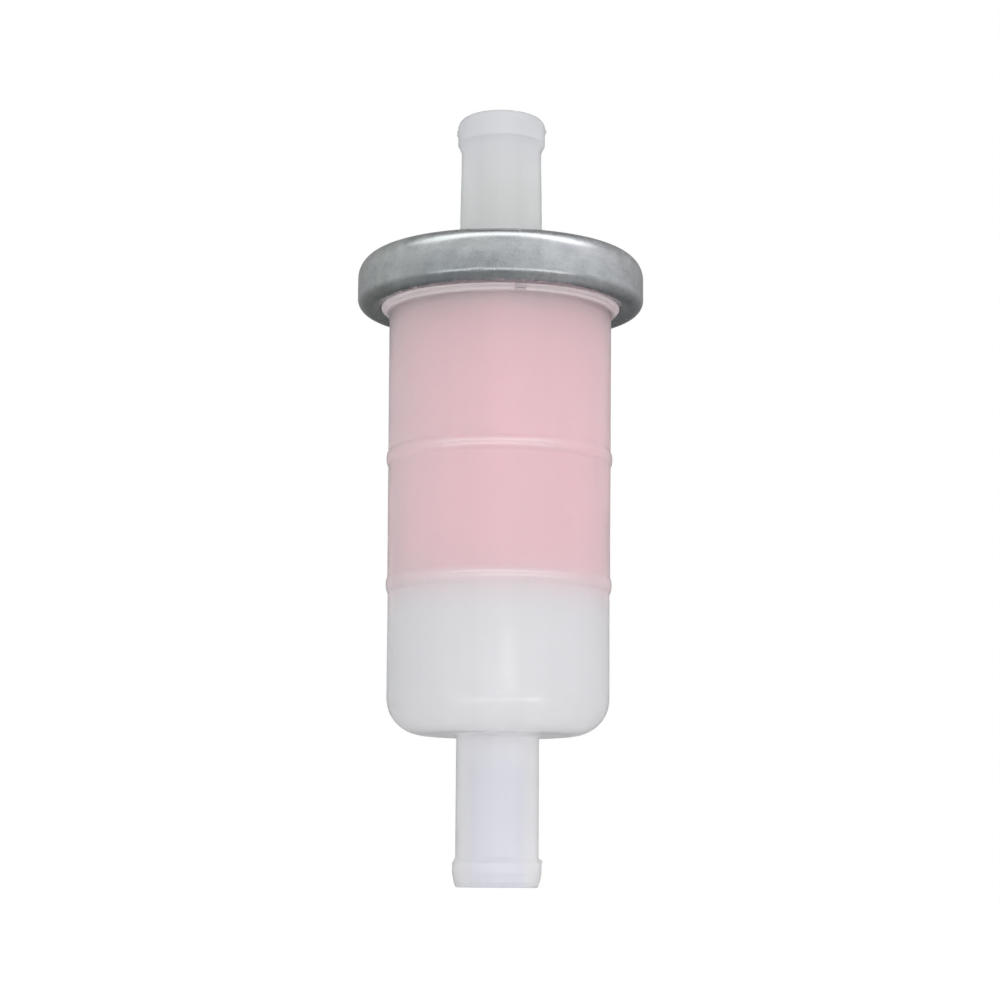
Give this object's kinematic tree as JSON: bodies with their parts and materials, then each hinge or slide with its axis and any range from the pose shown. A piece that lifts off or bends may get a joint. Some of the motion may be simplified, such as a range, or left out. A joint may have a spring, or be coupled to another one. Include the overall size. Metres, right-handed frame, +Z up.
{
  "type": "fuel filter",
  "caption": "In-line fuel filter: translucent moulded case with a pleated paper element inside, a crimped steel ring holding the cover, and a barbed hose nipple at each end.",
  "frame": {"origin": "centre of the end face of the lower, inlet hose nipple", "axes": "+Z up the filter's axis to the outlet nipple; -Y to the side that carries the moulding gate mark on the case's collar (9 degrees toward +X)"},
  "size_m": [0.0354, 0.0354, 0.095],
  "materials": {
    "case_nylon": "milky translucent nylon, satin gloss",
    "cover_nylon": "milky white nylon, satin gloss",
    "zinc_steel": "zinc plated, finely brushed and mottled",
    "seal_rubber": "pale fuel-resistant rubber, matt",
    "filter_paper": "pink resin-treated pleated paper",
    "seam_strip": "matt",
    "core_plastic": "matt white",
    "cap_plastic": "matt white",
    "potting": "cured adhesive, waxy"
  },
  "bodies": {
    "root": {"case": "case_nylon", "cover": "cover_nylon", "crimp_ring": "zinc_steel", "flange_seal": "seal_rubber", "outlet_seal": "seal_rubber", "filter_paper": "filter_paper", "pleat_seam": "seam_strip", "core_tube": "core_plastic", "upper_end_cap": "cap_plastic", "lower_end_cap": "cap_plastic", "upper_potting": "potting", "lower_potting": "potting"}
  },
  "joints": []
}
